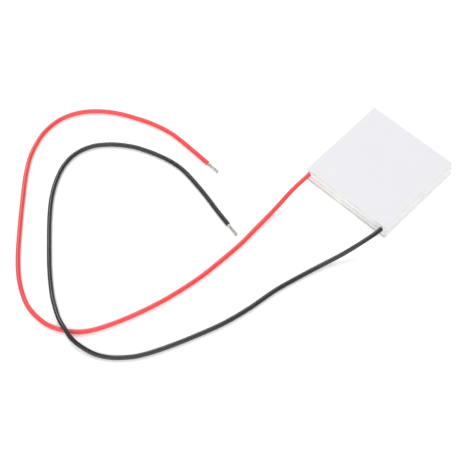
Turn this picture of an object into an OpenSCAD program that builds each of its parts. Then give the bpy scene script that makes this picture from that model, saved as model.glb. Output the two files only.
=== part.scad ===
// Two-stage thermoelectric cooling module with two loose leads, in millimetres.
// The origin is at the middle of the underside. +Z is up, and the leads leave the -Y side.

/* [Ceramic plates] */
// Side of the square ceramic plates
plate_w = 40; // [36:0.5:60]
// Thickness of each ceramic plate
plate_t = 0.8; // [0.6:0.05:1.2]

/* [Thermopiles] */
// Pellets along one side of the grid, an even number
grid_n = 16; // [12:2:18]
// Side of a square pellet
pellet_w = 1.4; // [0.8:0.1:1.6]
// Height of a pellet
pellet_h = 1.7; // [1.5:0.1:3]
// Thickness of a copper tab
tab_t = 0.3; // [0.2:0.05:0.5]
// Space between neighbouring copper tabs
tab_gap = 0.5; // [0.3:0.05:0.7]

/* [Seals] */
// Depth of the sealant bead, from the edge of the plates inwards
seal_d = 1; // [0.6:0.1:2]
// How far the bead bulges past the edge of the plates
seal_bulge = 0.2; // [0.1:0.05:0.4]

/* [Leads] */
// Diameter over the insulation
lead_d = 1.8; // [1.4:0.1:2]
// Diameter of the tinned strands
core_d = 1.1; // [0.6:0.1:1.2]
// Bare length at the free end
strip_l = 6; // [3:0.5:12]
// Thickness of the solder around the strands
solder_t = 0.15; // [0.05:0.05:0.2]
// Diameter of the posts that join the two stages
post_d = 0.9; // [0.6:0.1:1]

/* [Hidden] */
$fn = 48;

// Running clearance between pieces that are assembled side by side
fit = 0.05;
// Room that is left around a post and between the lead and the hot plate
room = 0.1;
// Depth by which a cut runs past the surface that it opens
past = 1;

// Levels of the stack, from the floor up
stage_h = pellet_h + 2 * tab_t;
lower_z = plate_t;
middle_z = lower_z + stage_h;
upper_z = middle_z + plate_t;
hot_z = upper_z + stage_h;

// The grid of cells, one for each pellet
rim = plate_w / 2 - seal_d;
pitch = (2 * (rim - fit) + tab_gap) / grid_n;
tab_w = pitch - tab_gap;
last = grid_n - 1;

// Where a lead is soldered down, on the terminal tab in its corner
pad_edge = rim - fit;
lead_x = pad_edge - solder_t - core_d / 2;
lead_z = hot_z - room - lead_d / 2;
post_y = cell(1) - tab_w / 2 - room - post_d / 2;
core_end_y = post_y - post_d / 2 - 2 * room;
straight_y = -plate_w / 2 - lead_d;

// Routes of the leads over the floor, as [x, y, height of the underside]. The
// black lead climbs over the red one once, where both turn back at the far left.
RED_ROUTE = [
    [-18.5, -29, 3.7], [-18.5, -36, 2.1], [-18.5, -42.5, 0.8], [-18.5, -49, 0.1], [-18, -59.5, 0],
    [-18.5, -72.5, 0], [-19, -79.5, 0], [-20.5, -89, 0], [-22.5, -98, 0], [-26, -109, 0],
    [-29.5, -117.5, 0], [-33, -124, 0], [-36, -127.5, 0], [-40, -130.5, 0], [-44, -132.5, 0],
    [-48, -133.5, 0], [-54.5, -133.5, 0], [-59, -132.5, 0], [-64.5, -130, 0], [-70, -126.5, 0],
    [-76.5, -121, 0], [-85.5, -112, 0], [-94, -103, 0], [-102.5, -93.5, 0], [-107.5, -86.5, 0],
    [-110.5, -80, 0], [-112, -74.5, 0], [-112, -67.5, 0], [-110.5, -62.5, 0], [-107.5, -57.5, 0],
    [-102.5, -52.5, 0], [-96.5, -48.5, 0], [-90, -45.5, 0], [-81.5, -42.5, 0], [-73.5, -41, 0],
    [-64.5, -41, 0], [-53, -41.5, 0]
];
BLACK_ROUTE = [
    [16.5, -30, 3.5], [14, -37.5, 1.7], [11.5, -44, 0.5], [9.5, -50, 0], [5.5, -65, 0],
    [3.5, -77.5, 0], [1, -88, 0], [-2, -96.5, 0], [-7, -108.5, 0], [-11, -116.5, 0],
    [-14, -121, 0], [-19.5, -126.5, 0], [-24.5, -129.5, 0.2], [-29.5, -131, 0.9], [-34.5, -131.5, 1.6],
    [-39.5, -130.5, 1.9], [-44.5, -129, 1.6], [-49.5, -126.5, 0.9], [-54.5, -123.5, 0.2], [-63, -117, 0],
    [-72, -109, 0], [-81, -100.5, 0], [-86.5, -94.5, 0], [-91, -88, 0], [-94, -81.5, 0],
    [-95, -76, 0], [-94.5, -71.5, 0], [-93, -67.5, 0], [-91, -64.5, 0], [-86.5, -60, 0],
    [-80.5, -56, 0], [-76, -54, 0], [-68, -51.5, 0], [-62, -50.5, 0], [-57, -50.5, 0],
    [-45, -52.5, 0], [-34.5, -55, 0], [-27.5, -56.5, 0]
];
TUBE_SIDES = 8;

// Centre of the cell in column or row i
function cell(i) = (i - last / 2) * pitch;

// The two corner cells beside the leads hold no pellet
function lead_cell(i, j) = j == 0 && (i == 0 || i == last);

// Centre line of a lead on one side (-1 or 1): straight out of the seal, then its route
function lead_path(side, route) = concat(
    [[side * lead_x, -rim, lead_z], [side * lead_x, straight_y, lead_z]],
    [for (p = route) [p[0], p[1], p[2] + lead_d / 2]]
);

function unit(v) = v / norm(v);

// Direction of a path at its point k
function heading(path, k) = unit(path[min(k + 1, len(path) - 1)] - path[max(k - 1, 0)]);

// One ring of a tube's points around p, square to the direction t
function ring(p, t, r, side = 0) =
    let (across = unit(cross(t, [0, 0, 1])), up = cross(across, t))
    [for (k = [0:TUBE_SIDES - 1]) p + r * (cos(k * 360 / TUBE_SIDES) * across + sin(k * 360 / TUBE_SIDES) * up)];

// A tube of radius r along a path, as one closed solid
module tube(path, r) {
    rings = len(path);
    points = [for (k = [0:rings - 1]) each ring(path[k], heading(path, k), r)];
    walls = [
        for (k = [0:rings - 2], s = [0:TUBE_SIDES - 1])
            let (a = k * TUBE_SIDES, b = a + TUBE_SIDES, n = (s + 1) % TUBE_SIDES)
            [a + s, a + n, b + n, b + s]
    ];
    first_end = [for (s = [TUBE_SIDES - 1:-1:0]) s];
    last_end = [for (s = [0:TUBE_SIDES - 1]) (rings - 1) * TUBE_SIDES + s];
    polyhedron(points, concat(walls, [first_end, last_end]));
}

// A round bar of length l from p in the direction t
module bar(p, t, d, l) {
    translate(p)
        rotate([0, acos(t[2]), atan2(t[1], t[0])])
            cylinder(d = d, h = l);
}

// A ceramic plate standing at height z
module plate(z) {
    translate([-plate_w / 2, -plate_w / 2, z]) cube([plate_w, plate_w, plate_t]);
}

// A copper tab over the cells from column i0, row j0 to column i1, row j1
module tab(i0, j0, i1, j1, z) {
    translate([cell(i0) - tab_w / 2, cell(j0) - tab_w / 2, z])
        cube([cell(i1) - cell(i0) + tab_w, cell(j1) - cell(j0) + tab_w, tab_t]);
}

// Tabs on a stage's hot side: pairs along each column, with the two terminals in the corners
module hot_tabs(z) {
    for (i = [0:last], j = [0:2:last - 1]) tab(i, j, i, j + 1, z);
}

// Tabs on its cold side: the pairs between, and the steps from each column to the next
module cold_tabs(z) {
    for (i = [0:last], j = [1:2:last - 2]) tab(i, j, i, j + 1, z);
    for (i = [0:2:last - 1]) tab(i, last, i + 1, last, z);
    for (i = [1:2:last - 2]) tab(i, 0, i + 1, 0, z);
}

// Every second pellet of a stage: odd cells are of the N type, even cells of the P type
module pellets(odd, z) {
    for (i = [0:last], j = [0:last])
        if ((i + j) % 2 == odd && !lead_cell(i, j))
            translate([cell(i) - pellet_w / 2, cell(j) - pellet_w / 2, z + tab_t])
                cube([pellet_w, pellet_w, pellet_h]);
}

// Section of the sealant bead: x = 0 is its inner face, and the outer face is an arc
module bead_section() {
    arc_r = (stage_h * stage_h / 4 + seal_bulge * seal_bulge) / (2 * seal_bulge);
    square([seal_d, stage_h]);
    intersection() {
        translate([seal_d + seal_bulge - arc_r, stage_h / 2]) circle(r = arc_r, $fn = 96);
        translate([seal_d, 0]) square([2 * seal_bulge, stage_h]);
    }
}

// The bead all round a stage, with rounded outer corners
module bead_ring(z) {
    for (a = [0:90:270])
        rotate(a)
            translate([rim, 0, z]) {
                rotate([90, 0, 0]) linear_extrude(2 * rim, center = true) bead_section();
                translate([0, rim, 0]) rotate_extrude(angle = 90) bead_section();
            }
}

module cold_plate() { color("whitesmoke") plate(0); }

module middle_plate() {
    color("whitesmoke")
        difference() {
            plate(middle_z);
            for (side = [-1, 1])
                translate([side * cell(last), post_y, middle_z - past])
                    cylinder(d = post_d + 2 * fit, h = plate_t + 2 * past);
        }
}

module hot_plate() { color("whitesmoke") plate(hot_z); }

module lower_cold_tabs() { color("peru") cold_tabs(lower_z); }

module lower_n_pellets() { color("slategray") pellets(1, lower_z); }

module lower_p_pellets() { color("dimgray") pellets(0, lower_z); }

module lower_hot_tabs() { color("peru") hot_tabs(middle_z - tab_t); }

module upper_cold_tabs() { color("peru") cold_tabs(upper_z); }

module upper_n_pellets() { color("slategray") pellets(1, upper_z); }

module upper_p_pellets() { color("dimgray") pellets(0, upper_z); }

module upper_hot_tabs() { color("peru") hot_tabs(hot_z - tab_t); }

module lower_seal() { color("gainsboro") bead_ring(lower_z); }

// The upper bead closes around both leads
module upper_seal() {
    color("gainsboro")
        difference() {
            bead_ring(upper_z);
            for (side = [-1, 1])
                bar([side * lead_x, -rim + fit, lead_z], [0, -1, 0], lead_d, seal_d + seal_bulge + past);
        }
}

// Posts from the upper stage's terminals, through the middle plate, to the lower stage's
module interstage_posts() {
    color("peru")
        for (side = [-1, 1])
            translate([side * cell(last), post_y, middle_z])
                cylinder(d = post_d, h = plate_t + stage_h - tab_t);
}

// Solder that holds the strands up against the terminal tab
module solder(side) {
    top = hot_z - tab_t;
    wrap_r = core_d / 2 + solder_t;
    color("silver")
        difference() {
            translate([side * lead_x, core_end_y, 0])
                rotate([90, 0, 0])
                    linear_extrude(pad_edge + core_end_y)
                        intersection() {
                            union() {
                                translate([0, lead_z]) circle(r = wrap_r);
                                translate([-wrap_r, lead_z]) square([2 * wrap_r, top - lead_z]);
                            }
                            translate([-wrap_r, 0]) square([2 * wrap_r, top]);
                        }
            bar([side * lead_x, -rim - past, lead_z], [0, 1, 0], core_d, rim + core_end_y + 2 * past);
        }
}

module red_solder() { solder(-1); }

module black_solder() { solder(1); }

// The tinned strands from the end of the insulation to the end of the solder
module soldered_end(side) {
    color("lightgray") bar([side * lead_x, -rim, lead_z], [0, 1, 0], core_d, rim + core_end_y);
}

module red_soldered_end() { soldered_end(-1); }

module black_soldered_end() { soldered_end(1); }

module red_lead() { color("crimson") tube(lead_path(-1, RED_ROUTE), lead_d / 2); }

module black_lead() { color("#2a2a2c") tube(lead_path(1, BLACK_ROUTE), lead_d / 2); }

// The twisted, tinned strands at the free end, in line with the end of the lead
module tinned_end(path) {
    end = len(path) - 1;
    color("lightgray") bar(path[end], heading(path, end), core_d, strip_l);
}

module red_tinned_end() { tinned_end(lead_path(-1, RED_ROUTE)); }

module black_tinned_end() { tinned_end(lead_path(1, BLACK_ROUTE)); }

cold_plate();
middle_plate();
hot_plate();
lower_cold_tabs();
lower_n_pellets();
lower_p_pellets();
lower_hot_tabs();
upper_cold_tabs();
upper_n_pellets();
upper_p_pellets();
upper_hot_tabs();
lower_seal();
upper_seal();
interstage_posts();
red_solder();
black_solder();
red_soldered_end();
black_soldered_end();
red_lead();
black_lead();
red_tinned_end();
black_tinned_end();
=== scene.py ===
"""Looks of a two-stage cooling module: alumina plates, silicone sealant, two leads, a white studio.

Lengths are in metres unless a comment gives another unit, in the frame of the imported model:
+Z is up, and the leads leave the -Y side.
"""

import math

import bpy
import numpy as np
from mathutils import Matrix, Vector, noise


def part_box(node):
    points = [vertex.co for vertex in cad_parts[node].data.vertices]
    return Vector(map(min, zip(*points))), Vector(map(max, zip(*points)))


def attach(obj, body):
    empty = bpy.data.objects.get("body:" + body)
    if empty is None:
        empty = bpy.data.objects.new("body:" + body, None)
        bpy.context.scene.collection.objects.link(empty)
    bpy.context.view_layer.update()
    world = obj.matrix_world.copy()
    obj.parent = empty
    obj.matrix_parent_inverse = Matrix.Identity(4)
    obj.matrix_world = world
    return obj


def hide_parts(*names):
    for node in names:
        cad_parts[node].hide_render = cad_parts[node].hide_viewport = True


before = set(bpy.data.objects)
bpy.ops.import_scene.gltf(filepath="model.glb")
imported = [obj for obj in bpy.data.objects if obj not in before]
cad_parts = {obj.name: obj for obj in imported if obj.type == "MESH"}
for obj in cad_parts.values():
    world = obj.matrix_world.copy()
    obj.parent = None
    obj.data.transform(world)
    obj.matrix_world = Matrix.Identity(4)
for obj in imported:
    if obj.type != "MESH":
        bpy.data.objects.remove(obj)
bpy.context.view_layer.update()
MM = 0.001

# ---------------------------------------------------------------- sizes from the model

COLD_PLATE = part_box("cold_plate")
MIDDLE_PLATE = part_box("middle_plate")
HOT_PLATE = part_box("hot_plate")
LOWER_GAP = (COLD_PLATE[1].z, MIDDLE_PLATE[0].z)
UPPER_GAP = (MIDDLE_PLATE[1].z, HOT_PLATE[0].z)
HALF = HOT_PLATE[1].x

red_low, red_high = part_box("red_soldered_end")
black_low, black_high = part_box("black_soldered_end")
CORE_R = (red_high.x - red_low.x) / 2
INNER_Y = red_low.y
SEAL_DEPTH = HALF + INNER_Y
EXIT_X = (black_low.x + black_high.x) / 2
EXIT_Z = (black_low.z + black_high.z) / 2
LEAD_D = 1.8 * MM
LEAD_R = LEAD_D / 2
STRIP_L = 6 * MM

# Routes of the leads over the floor, in millimetres, as x, y and the height of the underside
RED_ROUTE = [
    (-18.5, -29, 3.7), (-18.5, -36, 2.1), (-18.5, -42.5, 0.8), (-18.5, -49, 0.1), (-18, -59.5, 0),
    (-18.5, -72.5, 0), (-19, -79.5, 0), (-20.5, -89, 0), (-22.5, -98, 0), (-26, -109, 0),
    (-29.5, -117.5, 0), (-33, -124, 0), (-36, -127.5, 0), (-40, -130.5, 0), (-44, -132.5, 0),
    (-48, -133.5, 0), (-54.5, -133.5, 0), (-59, -132.5, 0), (-64.5, -130, 0), (-70, -126.5, 0),
    (-76.5, -121, 0), (-85.5, -112, 0), (-94, -103, 0), (-102.5, -93.5, 0), (-107.5, -86.5, 0),
    (-110.5, -80, 0), (-112, -74.5, 0), (-112, -67.5, 0), (-110.5, -62.5, 0), (-107.5, -57.5, 0),
    (-102.5, -52.5, 0), (-96.5, -48.5, 0), (-90, -45.5, 0), (-81.5, -42.5, 0), (-73.5, -41, 0),
    (-64.5, -41, 0), (-53, -41.5, 0),
]
BLACK_ROUTE = [
    (16.5, -30, 3.5), (14, -37.5, 1.7), (11.5, -44, 0.5), (9.5, -50, 0), (5.5, -65, 0),
    (3.5, -77.5, 0), (1, -88, 0), (-2, -96.5, 0), (-7, -108.5, 0), (-11, -116.5, 0),
    (-14, -121, 0), (-19.5, -126.5, 0), (-24.5, -129.5, 0.2), (-29.5, -131, 0.9), (-34.5, -131.5, 1.6),
    (-39.5, -130.5, 1.9), (-44.5, -129, 1.6), (-49.5, -126.5, 0.9), (-54.5, -123.5, 0.2), (-63, -117, 0),
    (-72, -109, 0), (-81, -100.5, 0), (-86.5, -94.5, 0), (-91, -88, 0), (-94, -81.5, 0),
    (-95, -76, 0), (-94.5, -71.5, 0), (-93, -67.5, 0), (-91, -64.5, 0), (-86.5, -60, 0),
    (-80.5, -56, 0), (-76, -54, 0), (-68, -51.5, 0), (-62, -50.5, 0), (-57, -50.5, 0),
    (-45, -52.5, 0), (-34.5, -55, 0), (-27.5, -56.5, 0),
]


# ---------------------------------------------------------------- camera


def unit(v):
    return v / np.linalg.norm(v)


def add_camera():
    """A long lens, high over the corner between the lead side and +X, and slightly rolled."""
    azimuth, elevation, roll = math.radians(46.26), math.radians(58.6), math.radians(-3.0)
    distance, lens, aim = 0.548, 108.15, Vector((-0.0283, -0.0534, -0.01))
    level = math.cos(elevation)
    back = Vector((math.sin(azimuth) * level, -math.cos(azimuth) * level, math.sin(elevation)))
    right = Vector((math.cos(azimuth), math.sin(azimuth), 0))
    up = back.cross(right)
    rolled_right = right * math.cos(roll) + up * math.sin(roll)
    rolled_up = up * math.cos(roll) - right * math.sin(roll)
    data = bpy.data.cameras.new("camera")
    data.lens = lens
    data.sensor_width = 36
    data.clip_start = 0.01
    camera = bpy.data.objects.new("camera", data)
    turn = Matrix((rolled_right, rolled_up, back)).transposed().to_4x4()
    camera.matrix_world = Matrix.Translation(aim + back * distance) @ turn
    bpy.context.scene.collection.objects.link(camera)
    bpy.context.scene.camera = camera


add_camera()

# ---------------------------------------------------------------- shader graphs


class Value:
    """A number in a material that varies over the surface. Arithmetic on it adds Math nodes."""

    def __init__(self, paint, socket):
        self.paint = paint
        self.socket = socket

    def __add__(self, other):
        return self.paint.math("ADD", self, other)

    def __radd__(self, other):
        return self.paint.math("ADD", other, self)

    def __sub__(self, other):
        return self.paint.math("SUBTRACT", self, other)

    def __rsub__(self, other):
        return self.paint.math("SUBTRACT", other, self)

    def __mul__(self, other):
        return self.paint.math("MULTIPLY", self, other)

    def __rmul__(self, other):
        return self.paint.math("MULTIPLY", other, self)

    def limited(self):
        return self.paint.node("ShaderNodeClamp", {}, {0: self})


class Paint:
    """One material and the nodes that make it."""

    def __init__(self, name):
        self.material = bpy.data.materials.new(name)
        self.material.use_nodes = True
        self.tree = self.material.node_tree
        self.shader = self.tree.nodes["Principled BSDF"]

    def node(self, kind, settings, sockets, output=0):
        """Adds a node: its settings first, a ramp's stops among them, then its sockets."""
        made = self.tree.nodes.new(kind)
        for key, value in settings.items():
            if key == "stops":
                self._stops(made.color_ramp, value)
            else:
                setattr(made, key, value)
        for key, value in sockets.items():
            self._feed(made.inputs[key], value)
        return Value(self, made.outputs[output])

    def _feed(self, socket, value):
        if isinstance(value, Value):
            self.tree.links.new(value.socket, socket)
        else:
            socket.default_value = value

    def _stops(self, ramp, stops):
        while len(ramp.elements) < len(stops):
            ramp.elements.new(0.5)
        for element, (place, grey) in zip(ramp.elements, stops):
            element.position = place
            element.color = (grey, grey, grey, 1)

    def where(self):
        return self.node("ShaderNodeTexCoord", {}, {}, "Object")

    def place(self, axis):
        """The point's distance from the origin along an axis."""
        return self.node("ShaderNodeSeparateXYZ", {}, {0: self.where()}, axis)

    def facing(self, axis):
        """How far the surface faces along an axis, from -1 to 1."""
        normal = self.node("ShaderNodeNewGeometry", {}, {}, "Normal")
        return self.node("ShaderNodeSeparateXYZ", {}, {0: normal}, axis)

    def lead_side(self):
        """1 on the side where the leads come out, 0 on the others."""
        return (0 - self.facing("Y")).limited()

    def math(self, operation, *values):
        return self.node("ShaderNodeMath", {"operation": operation}, dict(enumerate(values)))

    def noise(self, scale, detail):
        """Cloudy noise from 0 to 1, with about `scale` lumps to the metre."""
        sockets = {"Vector": self.where(), "Scale": scale, "Detail": detail}
        return self.node("ShaderNodeTexNoise", {}, sockets)

    def patches(self, scale, detail, contrast, threshold):
        """Noise drawn apart into patches of 1 and gaps of 0 with soft borders."""
        return (contrast * self.noise(scale, detail) - threshold).limited()

    def below(self, limit, value, steepness):
        """0 where the value is over the limit, rising to 1 beneath it by `steepness` to the metre."""
        return ((limit - value) * steepness).limited()

    def ramp(self, value, *stops):
        return self.node("ShaderNodeValToRGB", {"stops": stops}, {0: value})

    def mix(self, share, first, second):
        sockets = {0: share, 6: first, 7: second}
        return self.node("ShaderNodeMix", {"data_type": "RGBA"}, sockets, 2)

    def set(self, **values):
        """Sets the main shader's sockets; `base_color` stands for Base Color."""
        for key, value in values.items():
            socket = key.replace("_", " ").title().replace("Ior", "IOR")
            self._feed(self.shader.inputs[socket], value)

    def bump(self, height, strength, distance):
        """Relief of the surface: `distance` metres high where the height is 1."""
        sockets = {"Height": height, "Strength": strength, "Distance": distance}
        self._feed(self.shader.inputs["Normal"], self.node("ShaderNodeBump", {}, sockets))
        return self


def rgb(r, g, b):
    return (r, g, b, 1.0)


def alumina():
    """Fired white alumina with traces of sealant near two sides and painted shade on its upright edges.

    A greyer band along the foot of each plate's edge is painted shade, stronger on the lead side.
    On the lead side the lowest plate's edge is darkened further with painted shade, for its contact
    shadow on the floor.
    """
    pitch = MIDDLE_PLATE[0].z - COLD_PLATE[0].z
    shade_band_height, wrap = 0.34 * MM, 0.1 * MM
    trace_width, trace_slope = 5 * MM, 250
    steepness = 12000

    paint = Paint("alumina")
    clouds = paint.noise(120, 4)
    grain = paint.noise(9000, 2)
    height = paint.place("Z")
    lead_side = paint.lead_side()

    # Painted shade: a grey band at the foot of each plate's edge, broken into patches, stronger on the
    # lead side, which faces away from the key lamp
    into_plate = paint.math("MODULO", height + wrap, pitch) - wrap
    band = paint.below(shade_band_height * (0.7 + 0.6 * paint.noise(700, 3)), into_plate, steepness)
    pulses = 0.4 + 0.5 * paint.patches(2600, 2, 3.2, 0.9)
    painted_edge_shade = band * pulses * paint.patches(150, 2, 3.6, 1.1) * (0.6 + 0.4 * lead_side)
    # Painted shade: the lowest plate's edge on the lead side is darkened, standing in for its contact
    # shadow
    foot = paint.below(COLD_PLATE[1].z, height, steepness) * lead_side
    painted_foot_shade = foot * (0.25 + 0.3 * paint.noise(400, 3))
    upright = (1.4 - 3 * paint.math("ABSOLUTE", paint.facing("Z"))).limited()

    outward = paint.math("MAXIMUM", paint.place("X"), 0 - paint.place("Y"))
    edge = ((outward - (HALF - trace_width)) * trace_slope).limited()
    traces = edge * paint.patches(210, 4, 5, 2.1)

    white = paint.mix(clouds, rgb(0.81, 0.81, 0.855), rgb(0.845, 0.845, 0.87))
    smeared = paint.mix(0.75 * traces, white, rgb(0.83, 0.83, 0.81))
    # marks holds all of this painted shade, on upright faces only, and mixes in the dark grey below
    marks = (upright * (painted_edge_shade + painted_foot_shade)).limited()
    paint.set(
        base_color=paint.mix(marks, smeared, rgb(0.30, 0.30, 0.28)),
        roughness=0.42 + 0.16 * grain,
        specular_ior_level=0.5,
    )
    return paint.bump(grain + 0.6 * paint.noise(2500, 3), 0.35, 0.02 * MM).material


def silicone():
    """Cured white silicone: softly glossy and wiped by a finger, with painted shade along the plates'
    edges and towards its foot on the lead side.
    """
    seam_half_width = 0.26 * MM
    foot_height, foot_steepness = 2.1 * MM, 900

    paint = Paint("silicone_sealant")
    blotches = paint.noise(420, 4)
    wipes = paint.noise(1600, 3)
    height = paint.place("Z")
    lead_side = paint.lead_side()

    # Painted shade: grey lines along the seams where the sealant meets the plates, in patches, stronger
    # on the lead side, which faces away from the key lamp
    seams = LOWER_GAP + UPPER_GAP
    top = max(seams) * 1.2
    stops = [(0, 0), (1, 0)]
    for seam in seams:
        stops += [
            ((seam - seam_half_width) / top, 0),
            (seam / top, 1),
            ((seam + seam_half_width) / top, 0),
        ]
    along_seams = paint.ramp(height * (1 / top), *sorted(stops))
    painted_seam_shade = along_seams * paint.patches(330, 3, 4, 1.5) * (0.3 + 0.35 * lead_side)
    # Painted shade: darker towards the bottom on the lead side, where the lower bead lies in shade
    foot = paint.below(foot_height, height, foot_steepness) * lead_side
    painted_seal_shade = (painted_seam_shade + 0.3 * foot * (0.4 + paint.noise(500, 3))).limited()

    # The seam and foot shade above is painted into the colour as the dark grey
    white = paint.mix(blotches, rgb(0.83, 0.83, 0.805), rgb(0.90, 0.90, 0.885))
    paint.set(
        base_color=paint.mix(painted_seal_shade, white, rgb(0.33, 0.33, 0.31)),
        roughness=0.3 + 0.25 * wipes,
        subsurface_weight=0.1,
        subsurface_radius=(0.0006, 0.0006, 0.0005),
    )
    return paint.bump(wipes + 0.4 * paint.noise(6000, 2), 0.5, 0.04 * MM).material


def insulation(name, dull, bright, roughness):
    """Extruded PVC: even colour with faint drag marks and a soft gloss."""
    paint = Paint(name)
    skin = paint.noise(3500, 3)
    paint.set(
        base_color=paint.mix(paint.noise(260, 3), dull, bright),
        roughness=roughness + 0.14 * skin,
        coat_weight=0.25,
        coat_roughness=0.15,
    )
    return paint.bump(skin, 0.3, 0.02 * MM).material


def metal(name, dull, bright, roughness, scale, relief):
    """Bare metal with patches of tarnish and a fine surface, `relief` high."""
    paint = Paint(name)
    tarnish = paint.noise(scale, 4)
    grain = paint.noise(scale * 9, 2)
    paint.set(
        base_color=paint.mix(tarnish, dull, bright),
        metallic=1.0,
        roughness=roughness + 0.2 * grain,
    )
    return paint.bump(grain + tarnish, 0.4, relief).material


ALUMINA = alumina()
SILICONE = silicone()
RED_PVC = insulation("red_insulation", rgb(0.80, 0.048, 0.052), rgb(0.90, 0.068, 0.075), 0.22)
BLACK_PVC = insulation("black_insulation", rgb(0.007, 0.007, 0.008), rgb(0.015, 0.015, 0.017), 0.20)
TINNED = metal("tinned_strands", rgb(0.30, 0.30, 0.28), rgb(0.80, 0.79, 0.76), 0.18, 1100, 0.06 * MM)
SOLDER = metal("solder", rgb(0.55, 0.56, 0.57), rgb(0.78, 0.78, 0.78), 0.2, 700, 0.04 * MM)
COPPER = metal("copper_tab", rgb(0.62, 0.27, 0.16), rgb(0.83, 0.42, 0.28), 0.3, 600, 0.02 * MM)
N_PELLET = metal("n_pellet", rgb(0.30, 0.31, 0.34), rgb(0.45, 0.46, 0.49), 0.34, 1500, 0.03 * MM)
P_PELLET = metal("p_pellet", rgb(0.24, 0.24, 0.25), rgb(0.38, 0.38, 0.40), 0.38, 1500, 0.03 * MM)

# ---------------------------------------------------------------- mesh helpers


def add_piece(name, points, faces, material, replaces):
    """A smooth piece that rides on the module and stands for one of its CAD solids."""
    mesh = bpy.data.meshes.new(name)
    mesh.from_pydata([tuple(p) for p in points], [], [tuple(f) for f in faces])
    mesh.polygons.foreach_set("use_smooth", [True] * len(mesh.polygons))
    mesh.materials.append(material)
    mesh.update()
    piece = bpy.data.objects.new(name, mesh)
    bpy.context.scene.collection.objects.link(piece)
    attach(piece, "root")
    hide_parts(*replaces)
    return piece


def bar_faces(rings, sides, start=0):
    """Faces of a closed bar: quads between its rings of points, and a face on each end."""
    faces = []
    for first in range(start, start + (rings - 1) * sides, sides):
        after = first + sides
        for s in range(sides):
            t = (s + 1) % sides
            faces.append((first + s, first + t, after + t, after + s))
    last = start + (rings - 1) * sides
    faces.append(tuple(start + s for s in range(sides - 1, -1, -1)))
    faces.append(tuple(last + s for s in range(sides)))
    return faces


CURVE_STEPS = 16  # points from one given point to the next, before they are spaced evenly


def smooth_path(points, step):
    """The smooth curve through the given points, at even steps, and how far along it each step is."""
    knots = np.array(points, float)
    knots = np.vstack([2 * knots[0] - knots[1], knots, 2 * knots[-1] - knots[-2]])
    fine = []
    for p0, p1, p2, p3 in zip(knots, knots[1:], knots[2:], knots[3:]):
        t1 = math.sqrt(np.linalg.norm(p1 - p0))
        t2 = t1 + math.sqrt(np.linalg.norm(p2 - p1))
        t3 = t2 + math.sqrt(np.linalg.norm(p3 - p2))
        for t in np.linspace(t1, t2, CURVE_STEPS, endpoint=False):
            a1 = (t1 - t) / t1 * p0 + t / t1 * p1
            a2 = (t2 - t) / (t2 - t1) * p1 + (t - t1) / (t2 - t1) * p2
            a3 = (t3 - t) / (t3 - t2) * p2 + (t - t2) / (t3 - t2) * p3
            b1 = (t2 - t) / t2 * a1 + t / t2 * a2
            b2 = (t3 - t) / (t3 - t1) * a2 + (t - t1) / (t3 - t1) * a3
            fine.append((t2 - t) / (t2 - t1) * b1 + (t - t1) / (t2 - t1) * b2)
    fine.append(knots[-2])
    fine = np.array(fine)
    along = np.concatenate([[0], np.cumsum(np.linalg.norm(np.diff(fine, axis=0), axis=1))])
    count = int(round(along[-1] / step)) + 1
    places = np.linspace(0, along[-1], count)
    return np.stack([np.interp(places, along, fine[:, k]) for k in range(3)], axis=1), places


def path_axes(path):
    """At each point of a path: the level direction across it, and the one square to both."""
    heading = np.gradient(path, axis=0)
    heading /= np.linalg.norm(heading, axis=1)[:, None]
    across = np.cross(heading, (0, 0, 1))
    across /= np.linalg.norm(across, axis=1)[:, None]
    return across, np.cross(across, heading)


def tube(path, radii, sides):
    """Points of a round bar along a path, with one radius for each ring."""
    across, up = path_axes(path)
    turn = np.arange(sides) * 2 * math.pi / sides
    points = (
        path[:, None]
        + (radii[:, None] * np.cos(turn))[:, :, None] * across[:, None]
        + (radii[:, None] * np.sin(turn))[:, :, None] * up[:, None]
    )
    return points.reshape(-1, 3)


# ---------------------------------------------------------------- leads

TUBE_SIDES = 20
RING_STEP = 0.9 * MM
STRANDS = 7
WIRE_SIDES = 8
CORE_SIDES = 18
LAY = 8.5 * MM  # the length in which a strand goes once round
TUCK = 0.6 * MM  # how far the strands reach back into the insulation

# The rounded lip of the cut insulation: its length, then its rings from the full tube to the cut,
# as lip lengths before the cut and as shares of the lead's radius
LIP = 0.12 * MM
LIP_PLACES = np.array([2, 1, 0.4, 0.05, 0])
LIP_SHARES = np.array([1.0, 1.02, 0.985, 0.9, CORE_R * 0.8 / LEAD_R])


def lead_points(side, route):
    """Centre line of a lead: straight out of the seal, then along its route."""
    start = [(side * EXIT_X, INNER_Y, EXIT_Z), (side * EXIT_X, -HALF - LEAD_D, EXIT_Z)]
    return start + [(x * MM, y * MM, h * MM + LEAD_R) for x, y, h in route]


def add_lead(colour, side, route, material):
    """A lead, from inside the seal to the tip of its strands."""
    path, along = smooth_path(lead_points(side, route), RING_STEP)
    length = along[-1]
    body = along < length - 3 * LIP
    heading = unit(path[-1] - path[-2])
    ends = length - LIP * LIP_PLACES
    tail = path[-1] + (ends - length)[:, None] * heading
    rings = np.vstack([path[body], tail])
    shares = np.concatenate([np.ones(body.sum()), LIP_SHARES])
    drift = np.array([0.012 * noise.noise(Vector(p) * 300) for p in rings])
    radii = np.minimum((shares + np.minimum(drift, 0)) * LEAD_R, LEAD_R)
    piece = add_piece(
        colour + "_insulation", tube(rings, radii, TUBE_SIDES), bar_faces(len(rings), TUBE_SIDES),
        material, [colour + "_lead"],
    )
    strands = add_strands(colour, path[-1], heading)


def uneven(places, scale, seed):
    """Smooth unevenness from -1 to 1 at places along a wire."""
    return np.array([noise.noise(Vector((seed[0], a * scale, seed[1]))) for a in places])


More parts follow.
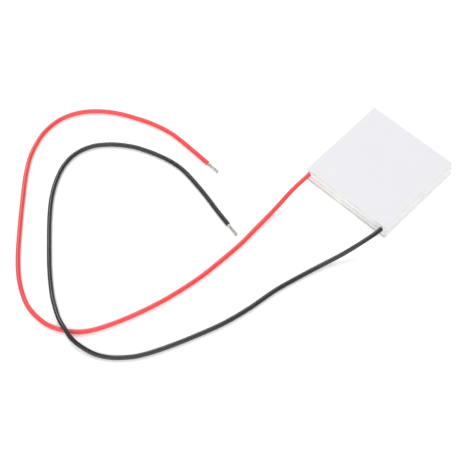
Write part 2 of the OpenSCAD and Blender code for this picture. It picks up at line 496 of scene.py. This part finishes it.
def add_strands(colour, start, heading):
    """Twisted, tinned strands: a ring of thin wires around a soldered core, cut a little unevenly."""
    wire_r = CORE_R * math.sin(math.pi / STRANDS) / (1 + math.sin(math.pi / STRANDS))
    ring_r = CORE_R - wire_r
    start = start - heading * TUCK
    reach = STRIP_L + TUCK
    across = unit(np.cross(heading, (0, 0, 1)))
    up = np.cross(across, heading)
    points, faces = [], []

    def add_bar(path, radii, sides):
        faces.extend(bar_faces(len(path), sides, len(points)))
        points.extend(tube(path, radii, sides))

    for k in range(STRANDS):
        short = (0.18 + 0.18 * noise.noise(Vector((k * 1.7, 0.3, 0.9)))) * MM
        along = np.linspace(0, reach - short, 40)
        turn = 2 * math.pi * (k / STRANDS + along / LAY + 0.11 * uneven(along, 350, (k * 3.3, 7.1)))
        flare = 0.22 * (along / reach) ** 4
        ring = ring_r * (1 - 0.10 * abs(uneven(along, 700, (k * 2.1, 0))) + flare)
        path = (
            start + along[:, None] * heading
            + (ring * np.cos(turn))[:, None] * across
            + (ring * np.sin(turn))[:, None] * up
        )
        taper = np.ones(len(along))
        taper[-3:] = (0.97, 0.8, 0.35)
        add_bar(path, wire_r * taper, WIRE_SIDES)

    along = np.linspace(0, reach - 0.25 * MM, 30)
    swell = np.array([1 + 0.05 * noise.noise(Vector((a * 700, 4.2, 0))) for a in along])
    swell[-2:] = (0.9, 0.6)
    add_bar(start + along[:, None] * heading, ring_r * 0.8 * swell, CORE_SIDES)
    return add_piece(
        colour + "_strands", points, faces, TINNED, [colour + "_tinned_end"]
    )


add_lead("red", -1, RED_ROUTE, RED_PVC)
add_lead("black", 1, BLACK_ROUTE, BLACK_PVC)

# ---------------------------------------------------------------- sealant

# Where the sealant was wiped over the plates' edges, in millimetres: the face it is on,
# the place along that face, half its width, its lowest and highest reach, its thickness
WIPES = [
    ("-y", -2.6, 3.8, 2.2, 6.5, 0.24), ("-y", -3.6, 2.6, 0.2, 2.6, 0.32),
    ("-y", 12.4, 2.4, 2.2, 6.8, 0.20), ("+x", -7.0, 4.6, 1.2, 6.7, 0.24),
    ("+x", -0.8, 3.4, 0.4, 6.9, 0.30), ("+x", 5.8, 2.9, 1.4, 6.6, 0.18),
    ("+x", 10.8, 3.6, 0.6, 6.9, 0.26), ("+x", 16.0, 2.4, 0.8, 6.8, 0.22),
    ("+x", -15.0, 3.2, 2.0, 4.9, 0.16), ("+y", -11.0, 5.0, 2.3, 4.9, 0.16),
    ("+y", 3.0, 3.0, 2.5, 6.6, 0.18), ("+y", 13.5, 3.6, 2.6, 4.4, 0.14),
    ("-x", -12.0, 4.2, 2.5, 4.6, 0.15), ("-x", 1.5, 4.8, 2.2, 6.5, 0.18),
    ("-x", 12.0, 2.8, 0.6, 4.6, 0.16),
]
WIPE_FADE = 0.35  # softness of a wipe's upper and lower edge, in millimetres
WIPE_FLAT = 0.55  # the share of a wipe's half width that has its full thickness
WIPE_LEAST = 0.004  # there is no wipe where it would be thinner than this, in millimetres
WIPE_SWELL, WIPE_GRAIN = 0.05, 0.03  # its slow and its fine unevenness, in millimetres

# For each face of the module, the direction along it and the one out of it
FACE_AXES = {
    "-y": ((1, 0), (0, -1)),
    "+x": ((0, 1), (1, 0)),
    "+y": ((-1, 0), (0, 1)),
    "-x": ((0, -1), (-1, 0)),
}
SIDE_STEPS = 190
CORNER_STEPS = 9
CORNER_R = 1.7 * MM

# Shape of a bead, in millimetres: how far it stands out from the plates' edges and how much that
# changes, slowly and finely; then how far it draws back at the plate over it (the hem) and at the
# plate under it (the foot), and within what height
BEAD_OUT, BEAD_SWELL, BEAD_GRAIN = 0.02, 0.16, 0.04
HEM_DRAW, HEM_HEIGHT, HEM_SWELL = 0.22, 0.44, 0.28
FOOT_DRAW, FOOT_HEIGHT = 0.12, 0.3

# The open crevice under the plate over a bead, in millimetres. It is closed beside the leads.
CREVICE_DEPTH, CREVICE_HEIGHT, CREVICE_SWELL = 0.8, 0.16, 0.22
CREVICE_END = 2.4

BEHIND_PLATES = 0.16 * MM  # how far the skin lies inside the plates where there is no sealant
FURTHEST_OUT = 0.9 * MM
END_GAP = 0.12 * MM  # bare rim of the plates under the lowest and over the highest sealant
COLLAR_OUT, COLLAR_FADE = 0.5 * MM, 0.28 * MM  # a collar's height at its lead, and how it fades
SEAM = (MIDDLE_PLATE[0].z + MIDDLE_PLATE[1].z) / 2  # where the two pieces of sealant meet


def smoothstep(low, high, x):
    t = np.clip((x - low) / (high - low), 0, 1)
    return t * t * (3 - 2 * t)


def outline():
    """Points and outward normals round the module, along its sides and its rounded corners."""
    points, normals = [], []
    straight = HALF - CORNER_R
    for (ax, ay), (nx, ny) in FACE_AXES.values():
        for t in np.linspace(-straight, straight, SIDE_STEPS, endpoint=False):
            points.append((ax * t + nx * HALF, ay * t + ny * HALF))
            normals.append((nx, ny))
        centre = ((ax + nx) * straight, (ay + ny) * straight)
        for turn in np.linspace(0, math.pi / 2, CORNER_STEPS, endpoint=False):
            c, s = math.cos(turn), math.sin(turn)
            normal = (nx * c + ax * s, ny * c + ay * s)
            points.append((centre[0] + normal[0] * CORNER_R, centre[1] + normal[1] * CORNER_R))
            normals.append(normal)
    return np.array(points), np.array(normals)


def wipe_cover(points, z):
    """Thickness of the wiped sealant over the outline's points, at the heights z."""
    cover = np.zeros((len(points), len(z)))
    for face, place, half_width, low, high, thick in WIPES:
        face_along, face_out = FACE_AXES[face]
        along = points @ np.array(face_along) / MM
        on_face = points @ np.array(face_out) > HALF - 0.3 * MM
        edge = 1 - smoothstep(WIPE_FLAT, 1.0, np.abs(along - place) / half_width)
        waver = np.array([0.35 * noise.noise(Vector((a * 0.6, place, low))) for a in along])
        height = z[None] / MM + waver[:, None]
        lift = smoothstep(low - WIPE_FADE, low + WIPE_FADE, height)
        drop = 1 - smoothstep(high - WIPE_FADE, high + WIPE_FADE, height)
        cover = np.maximum(cover, thick * MM * (edge * on_face)[:, None] * lift * drop)
    return cover


def lumps(points, z, scale, seed):
    """Uneven swelling from -1 to 1 over the outline's points at the heights z."""
    return np.array([[noise.noise(Vector((p[0], p[1], h + seed)) * scale) for h in z] for p in points])


def sealant_offset(points, z, gap):
    """How far the sealant stands out from the plates' edges. Below zero it is hidden behind them."""
    bottom, top = gap
    roof = np.array([top])
    below_top = (top - z[None]) / MM
    above_bottom = (z[None] - bottom) / MM
    inside = (below_top >= 0) & (above_bottom >= 0)
    fine = lumps(points, z, scale=1500, seed=0.7)
    swell = lumps(points, z * 0.5, scale=330, seed=top)

    bead = BEAD_OUT + BEAD_SWELL * swell + BEAD_GRAIN * fine
    hem = HEM_HEIGHT + HEM_SWELL * lumps(points, roof, scale=210, seed=0.1)
    bead = bead - HEM_DRAW * (1 - smoothstep(0, 1, below_top / hem))
    bead = bead - FOOT_DRAW * (1 - smoothstep(0, FOOT_HEIGHT, above_bottom))
    crevice = CREVICE_HEIGHT + CREVICE_SWELL * lumps(points, roof, scale=130, seed=0.4)
    to_lead = np.abs(np.abs(points[:, :1]) - EXIT_X)
    crevice = np.where((to_lead < CREVICE_END * MM) & (points[:, 1:] < 0), 0, crevice)
    bead = np.where(below_top < crevice, -CREVICE_DEPTH, bead) * MM
    bead = np.where(inside, bead, -BEHIND_PLATES)

    wiped = wipe_cover(points, z)
    uneven_wipe = wiped + (WIPE_GRAIN * fine + WIPE_SWELL * swell) * MM
    return np.maximum(bead, np.where(wiped > WIPE_LEAST * MM, uneven_wipe, -SEAL_DEPTH))


def collar(points, normals, z):
    """The sealant climbs the leads a little where they leave it."""
    rise = np.zeros((len(points), len(z)))
    lead_side = normals[:, None, 1] < -0.6
    for side in (-1, 1):
        away = np.hypot(points[:, None, 0] - side * EXIT_X, z[None] - EXIT_Z) - LEAD_R
        near = np.exp(-np.maximum(away, 0) / COLLAR_FADE)
        rise = np.maximum(rise, np.where(lead_side, COLLAR_OUT * near, 0))
    return rise


def add_sealant(name, low, high, gap, with_collars):
    """One bead with the sealant wiped from it, as a closed ring around the module."""
    points, normals = outline()
    bottom, top = gap
    z = np.concatenate([
        np.linspace(low, bottom - 0.04 * MM, 8),
        np.linspace(bottom, top - 0.4 * MM, 19),
        np.linspace(top - 0.36 * MM, top, 10),
        np.linspace(top + 0.04 * MM, high, 8),
    ])
    offset = sealant_offset(points, z, gap)
    if with_collars:
        offset = offset + collar(points, normals, z) * ((z > bottom) & (z < top + 0.2 * MM))[None]
    offset = np.minimum(offset, FURTHEST_OUT)
    edge = points[:, None] + normals[:, None] * offset[:, :, None]
    skin = np.concatenate([edge, np.broadcast_to(z[None, :, None], edge.shape[:2] + (1,))], axis=2)
    inner = points - normals * SEAL_DEPTH * 0.98
    back = [np.column_stack([inner, np.full(len(inner), level)])[:, None] for level in (top, bottom)]
    sections = np.concatenate([skin, *back], axis=1)
    count, rows = sections.shape[:2]
    faces = []
    for first in range(0, count * rows, rows):
        after = (first + rows) % (count * rows)
        for r in range(rows):
            t = (r + 1) % rows
            faces.append((first + r, after + r, after + t, first + t))
    add_piece(name + "_sealant", sections.reshape(-1, 3), faces, SILICONE, [name + "_seal"])


add_sealant("lower", END_GAP, SEAM, LOWER_GAP, False)
add_sealant("upper", SEAM, HOT_PLATE[1].z - END_GAP, UPPER_GAP, True)

# ---------------------------------------------------------------- finishes of the CAD pieces

PLATES = ("cold_plate", "middle_plate", "hot_plate")
EDGE_BREAK = 0.05 * MM

finishes = dict.fromkeys(PLATES, ALUMINA)
finishes["interstage_posts"] = COPPER
for stage in ("lower", "upper"):
    finishes[stage + "_cold_tabs"] = COPPER
    finishes[stage + "_hot_tabs"] = COPPER
    finishes[stage + "_n_pellets"] = N_PELLET
    finishes[stage + "_p_pellets"] = P_PELLET
for colour in ("red", "black"):
    finishes[colour + "_solder"] = SOLDER
    finishes[colour + "_soldered_end"] = TINNED

for node, material in finishes.items():
    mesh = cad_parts[node].data
    mesh.materials.clear()
    mesh.materials.append(material)

for node in PLATES:
    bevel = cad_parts[node].modifiers.new("broken_edges", "BEVEL")
    bevel.width = EDGE_BREAK
    bevel.segments = 2
    bevel.limit_method = "ANGLE"

# ---------------------------------------------------------------- studio


def add_floor():
    """A white table top that reaches far past the module and its leads.

    Its colour is brighter for rays that show it, straight or in a mirror or through glass, than for
    the light that it throws on the module.
    """
    reach = 6.0
    corners = [(-reach, -reach, 0), (reach, -reach, 0), (reach, reach, 0), (-reach, reach, 0)]
    mesh = bpy.data.meshes.new("floor")
    mesh.from_pydata(corners, [], [(0, 1, 2, 3)])
    paint = Paint("white_floor")
    rays = [
        paint.node("ShaderNodeLightPath", {}, {}, f"Is {kind} Ray")
        for kind in ("Camera", "Glossy", "Transmission")
    ]
    seen = (rays[0] + rays[1] + rays[2]).limited()
    paint.set(
        base_color=paint.mix(seen, rgb(0.93, 0.93, 0.93), rgb(1.3, 1.3, 1.3)),
        roughness=0.9,
        specular_ior_level=0.1,
    )
    mesh.materials.append(paint.material)
    floor = bpy.data.objects.new("floor", mesh)
    bpy.context.scene.collection.objects.link(floor)


def add_lamp(name, towards, energy, angle):
    """A round soft light far away, in the direction `towards`, and `angle` degrees wide."""
    data = bpy.data.lights.new(name, "SUN")
    data.energy = energy
    data.angle = math.radians(angle)
    lamp = bpy.data.objects.new(name, data)
    lamp.rotation_euler = Vector(towards).to_track_quat("Z", "Y").to_euler()
    bpy.context.scene.collection.objects.link(lamp)


def add_light():
    """A white room, a key lamp high behind the module and a broad fill from the camera's side."""
    world = bpy.data.worlds.new("white_room")
    bpy.context.scene.world = world
    world.use_nodes = True
    background = world.node_tree.nodes["Background"]
    background.inputs["Color"].default_value = rgb(1, 1, 1)
    background.inputs["Strength"].default_value = 0.535
    add_lamp("key_lamp", (-0.78, 0.36, 1.00), 0.95, 22)
    add_lamp("fill_lamp", (0.50, -0.64, 0.40), 1.75, 90)


add_floor()
add_light()
bpy.context.scene.view_settings.view_transform = "Standard"
